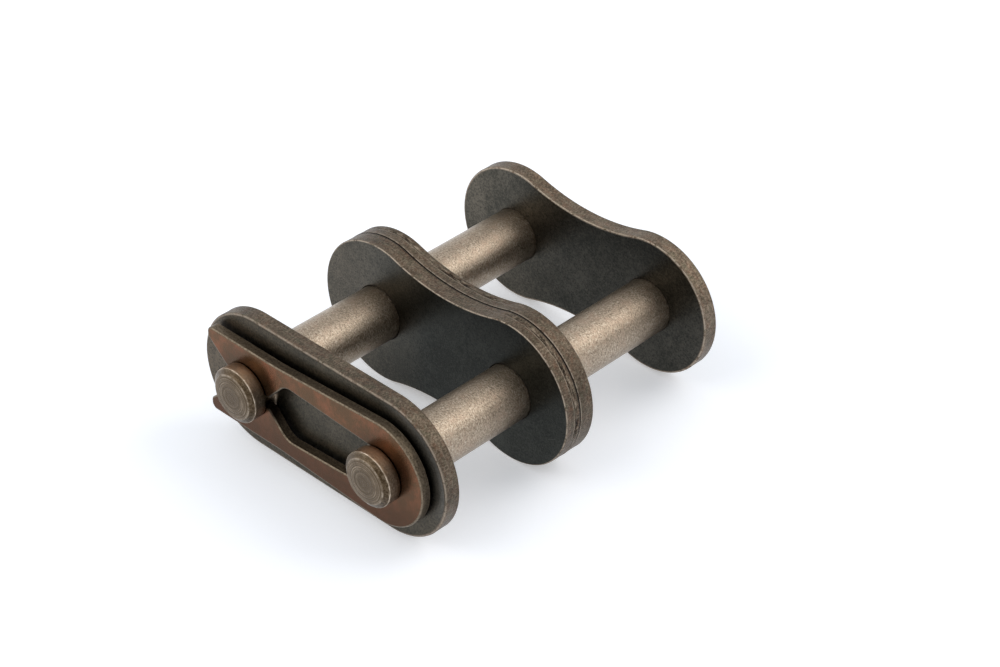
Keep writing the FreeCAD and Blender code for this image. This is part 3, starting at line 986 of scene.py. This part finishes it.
# The flat middle of the front end, the worn crest round it and the rusty bevel outside it
PIN_FLAT_RADIUS = 2.05
CREST_WEAR = 0.4
CREST_TOP = 1.3
CREST_WIDTH = 0.055
BEVEL_CHANGE = 0.1
BEVEL_LESS_TURNED = 0.1
FLAT_STAIN = 0.15

# Side of the head, back to the groove: radius, distance behind the head's edge, wear, end and stain
GROOVE_EDGE_RADIUS = 2.48
HEAD_SIDE = (
    (2.53, 0, 1.0, 0.6, 0.3),
    (PIN_RADIUS, 0.05, 0.7, 0.4, 0.3),
    (PIN_RADIUS, 0.1, 0, 0.4, 0.45),
    (PIN_RADIUS, 0.6 * HEAD_LENGTH, 0, 0.4, 0.5),
    (PIN_RADIUS, HEAD_LENGTH - 0.08, 0, 0.4, 0.9),
    (2.52, HEAD_LENGTH - 0.02, 0, 0.4, 1),
    (GROOVE_EDGE_RADIUS, HEAD_LENGTH, 0, 0.4, 1),
    (GROOVE_RADIUS, HEAD_LENGTH, 0, 0, 1),
)
GROOVE_EDGE_LENGTH = 0.06

# Riveted rear end: radius and distance behind the plate, the radii of its worn crests, and its marks
REAR_END = (
    (2.89, 0.0), (2.94, 0.03), (2.94, 0.14), (2.90, 0.21), (2.82, 0.27), (2.70, 0.36), (2.52, 0.48),
    (2.38, 0.58), (2.28, 0.65), (2.18, 0.69), (2.05, 0.70), (1.90, 0.685), (1.75, 0.66), (1.60, 0.66),
    (1.45, 0.675), (1.25, 0.68), (1.05, 0.67), (0.92, 0.64), (0.82, 0.56), (0.66, 0.51), (0.45, 0.50),
    (0.20, 0.50))
REAR_CRESTS = ((2.0, 2.3), (0.8, 1.0))
REAR_WEAR = 0.4
REAR_TURNED = 0.5
REAR_STAIN = 0.3

# Stains on the plain pin: how strong at a plate's front face, how far they reach, and where the faces are.
# The leaning plate's box begins this far in front of its face at the middle.
STAIN_STRENGTH = 0.75
STAIN_REACH = 1.3
LEAN_REACH = 0.4
STAIN_PLATES = (box_mm("intermediate_plate_front")[0].y + LEAN_REACH, link_low.y)

# Painted shade: each stain is made stronger towards the side of a pin that gets less light: its direction
# from
# +X, even share and uneven share
SHADED_SIDE = math.radians(8)
SHADE_EVEN = 0.75
SHADE_UNEVEN = 0.35


def height_at(points, radius):
    """Height on a line of (radius, height) points at a radius between them."""
    for (ra, ya), (rb, yb) in zip(points, points[1:]):
        if ra <= radius <= rb:
            return ya + (yb - ya) * (radius - ra) / (rb - ra)


def stain_at(y):
    """Darkening of a pin round each plate's front face, strongest at the face."""
    return STAIN_STRENGTH * max(math.exp(-abs(y - face) / STAIN_REACH) for face in STAIN_PLATES)


def pin_profile():
    """(radius, y, wear, end, stain) points from the domed front end to the riveted rear end."""
    head_edge = PIN_FRONT + DOME_RISE
    groove_rear = head_edge + HEAD_LENGTH + 2 * GROOVE_PLAY + CLIP_THICKNESS
    plate_rear = PIN_REAR - RIVET_HEIGHT
    points = []
    for k in range(1, int(PIN_RADIUS / PIN_RING_STEP)):
        radius = k * PIN_RING_STEP
        ring = sum(deep * bell(radius - at, PIN_RING_WIDTH) for at, deep in PIN_RINGS)
        crest = CREST_WEAR * clamp(CREST_TOP - abs(radius - PIN_FLAT_RADIUS) / CREST_WIDTH)
        bevel = clamp((radius - PIN_FLAT_RADIUS) / BEVEL_CHANGE)
        y = PIN_FRONT + height_at(FRONT_END, radius) + ring
        stain_and_shade = FLAT_STAIN + (1 - FLAT_STAIN) * bevel
        points.append((radius, y, crest, 1 - BEVEL_LESS_TURNED * bevel, stain_and_shade))
    for radius, behind, worn, end, stain_and_shade in HEAD_SIDE:
        points.append((radius, head_edge + behind, worn, end, stain_and_shade))
    points.append((GROOVE_RADIUS, groove_rear, 0, 0, 1))
    points.append((GROOVE_EDGE_RADIUS, groove_rear, 0, 0, 1))
    start = groove_rear + GROOVE_EDGE_LENGTH
    stop = plate_rear - RIVET_SINK
    for k in range(PIN_ROWS + 1):
        y = start + (stop - start) * k / PIN_ROWS
        points.append((PIN_RADIUS, y, 0, 0, stain_at(y)))
    for radius, behind in REAR_END:
        worn = REAR_WEAR if any(low < radius < high for low, high in REAR_CRESTS) else 0
        points.append((radius, plate_rear + behind, worn, REAR_TURNED, REAR_STAIN))
    return points


def turned(profile, x):
    """Vertices, faces and marks of a solid turned about a pin's axis, from its profile's points."""
    turns = [2 * math.pi * k / PIN_SEGMENTS for k in range(PIN_SEGMENTS)]
    # Painted shade: shares that strengthen each stain towards one side of the pin
    shade_shares = [SHADE_EVEN + SHADE_UNEVEN * math.cos(a - SHADED_SIDE) for a in turns]
    verts = []
    marks = {"wear": [], "end": [], "stain_and_shade": [], "ring": []}
    for radius, y, worn, end, stain_and_shade in profile:
        for a in turns:
            verts.append(Vector((x + radius * math.cos(a), y, AXIS_Z + radius * math.sin(a))))
        marks["wear"] += [worn] * PIN_SEGMENTS
        marks["end"] += [end] * PIN_SEGMENTS
        marks["stain_and_shade"] += [clamp(stain_and_shade * share) for share in shade_shares]
        marks["ring"] += [radius] * PIN_SEGMENTS
    faces = []
    for row in range(len(profile) - 1):
        low = row * PIN_SEGMENTS
        high = low + PIN_SEGMENTS
        faces += [(low + j, low + k, high + k, high + j) for k, j in around(PIN_SEGMENTS)]
    for row in (0, len(profile) - 1):
        centre = len(verts)
        _, y, worn, end, stain_and_shade = profile[row]
        verts.append(Vector((x, y, AXIS_Z)))
        for key, value in zip(marks, (worn, end, stain_and_shade, 0.0)):
            marks[key].append(value)
        for k, j in around(PIN_SEGMENTS):
            a = row * PIN_SEGMENTS + k
            b = row * PIN_SEGMENTS + j
            faces.append((centre, b, a) if row else (centre, a, b))
    return verts, faces, marks


for side, pin_x in (("left", -HALF_PITCH), ("right", HALF_PITCH)):
    make_skin("bearing_pin_" + side, "pin_link", "pin_steel", pin_material, *turned(pin_profile(), pin_x))


# Floor, light and camera

# Side of the floor in metres
FLOOR_SIZE = 3.0
FLOOR_COLOUR = (0.84, 0.85, 0.88)

# Glow near the part, as the camera sees it and as it is reflected, and between which distances from the
# middle, in metres, it rises to 1
FLOOR_GLOW = 0.36
FLOOR_GLOW_REFLECTED = 0.5
FLOOR_FADE = (0.12, 0.5)


def seen_or_reflected(nodes):
    """1 for rays that show the surroundings: straight from the camera, mirrored or through glass."""
    path = nodes.add("ShaderNodeLightPath")
    total = path.outputs["Is Camera Ray"]
    for other in ("Is Glossy Ray", "Is Transmission Ray"):
        total = nodes.math("MAXIMUM", total, path.outputs[other])
    return total


def make_floor():
    """Pale floor that keeps the part's shadow and glows to white away from it."""
    mesh = bpy.data.meshes.new("floor")
    h = FLOOR_SIZE / 2
    mesh.from_pydata([(-h, -h, 0), (h, -h, 0), (h, h, 0), (-h, h, 0)], [], [(0, 1, 2, 3)])
    floor = bpy.data.objects.new("floor", mesh)
    bpy.context.scene.collection.objects.link(floor)
    material = bpy.data.materials.new("floor")
    material.use_nodes = True
    material.node_tree.nodes.clear()
    nodes = Nodes(material.node_tree)
    diffuse = nodes.add("ShaderNodeBsdfDiffuse")
    nodes.feed(diffuse.inputs["Color"], (*FLOOR_COLOUR, 1))
    distance = nodes.add("ShaderNodeVectorMath", operation="LENGTH")
    nodes.feed(distance.inputs[0], nodes.add("ShaderNodeTexCoord").outputs["Object"])
    from_camera = nodes.add("ShaderNodeLightPath").outputs["Is Camera Ray"]
    nearby = nodes.span(from_camera, 0, 1, FLOOR_GLOW_REFLECTED, FLOOR_GLOW)
    far = distance.outputs["Value"]
    strength = nodes.span(far, *FLOOR_FADE, nearby, 1.0, interpolation_type="SMOOTHSTEP")
    glow = nodes.add("ShaderNodeEmission")
    nodes.feed(glow.inputs["Strength"], nodes.times(seen_or_reflected(nodes), strength))
    both = nodes.add("ShaderNodeAddShader")
    nodes.feed(both.inputs[0], diffuse.outputs["BSDF"])
    nodes.feed(both.inputs[1], glow.outputs["Emission"])
    nodes.feed(nodes.add("ShaderNodeOutputMaterial").inputs["Surface"], both.outputs["Shader"])
    mesh.materials.append(material)


WORLD_SEEN = (1.0, 1.0, 1.0)
WORLD_FILL = (0.50, 0.545, 0.60)


def make_world():
    """White surroundings that light the part with a cooler, dimmer fill."""
    world = bpy.data.worlds.new("studio")
    bpy.context.scene.world = world
    world.use_nodes = True
    nodes = Nodes(world.node_tree)
    shade = nodes.mix(seen_or_reflected(nodes), WORLD_FILL, WORLD_SEEN)
    nodes.feed(world.node_tree.nodes["Background"].inputs["Color"], shade)


# Each lamp: name, direction from the part, distance and side in metres, radiance, colour
LAMPS = (
    ("key", (0.41, 0.58, 0.70), 0.5, 0.34, 2.3, (1.0, 0.965, 0.93)),
    ("top", (-0.38, -0.75, 0.75), 0.55, 0.45, 1.8, (1.0, 0.98, 0.95)),
)


def make_lamps(centre):
    """Square lamps that face the part's middle."""
    for name, direction, distance, side, radiance, colour in LAMPS:
        lamp = bpy.data.lights.new(name, "AREA")
        lamp.shape = "SQUARE"
        lamp.size = side
        lamp.color = colour
        lamp.energy = radiance * math.pi * side**2
        holder = bpy.data.objects.new(name, lamp)
        bpy.context.scene.collection.objects.link(holder)
        away = Vector(direction).normalized()
        holder.location = centre + away * distance
        holder.rotation_mode = "QUATERNION"
        holder.rotation_quaternion = away.to_track_quat("Z", "Y")


# Camera, fitted to the photograph: target and distance in millimetres, angles in degrees, focal length in
# pixels of the photograph's width. The nearest distance that it sees is in metres.
CAMERA_TARGET = (-5.5633, 11.6934, -0.7669)
CAMERA_DISTANCE = 238.7473
CAMERA_AZIMUTH = 43.3066
CAMERA_ELEVATION = 35.8211
CAMERA_ROLL = 0.6928
CAMERA_FOCUS_PIXELS = 2624.67
IMAGE_WIDTH = 1000
SENSOR_WIDTH = 36.0
NEAREST_SEEN = 0.01


def make_camera():
    """Camera at the photograph's place and angle."""
    a, e, r = (math.radians(v) for v in (CAMERA_AZIMUTH, CAMERA_ELEVATION, CAMERA_ROLL))
    back = Vector((math.sin(a) * math.cos(e), -math.cos(a) * math.cos(e), math.sin(e)))
    right = Vector((math.cos(a), math.sin(a), 0))
    up = back.cross(right)
    right, up = right * math.cos(r) + up * math.sin(r), up * math.cos(r) - right * math.sin(r)
    camera = bpy.data.cameras.new("camera")
    camera.sensor_width = SENSOR_WIDTH
    camera.lens = CAMERA_FOCUS_PIXELS * SENSOR_WIDTH / IMAGE_WIDTH
    camera.clip_start = NEAREST_SEEN
    holder = bpy.data.objects.new("camera", camera)
    bpy.context.scene.collection.objects.link(holder)
    turn = Matrix((right, up, back)).transposed().to_4x4()
    place = (Vector(CAMERA_TARGET) + back * CAMERA_DISTANCE) * MM
    holder.matrix_world = Matrix.Translation(place) @ turn
    bpy.context.scene.camera = holder


make_floor()
make_world()
make_lamps((cad_box[0] + cad_box[1]) / 2)
make_camera()
bpy.context.scene.view_settings.view_transform = "Standard"
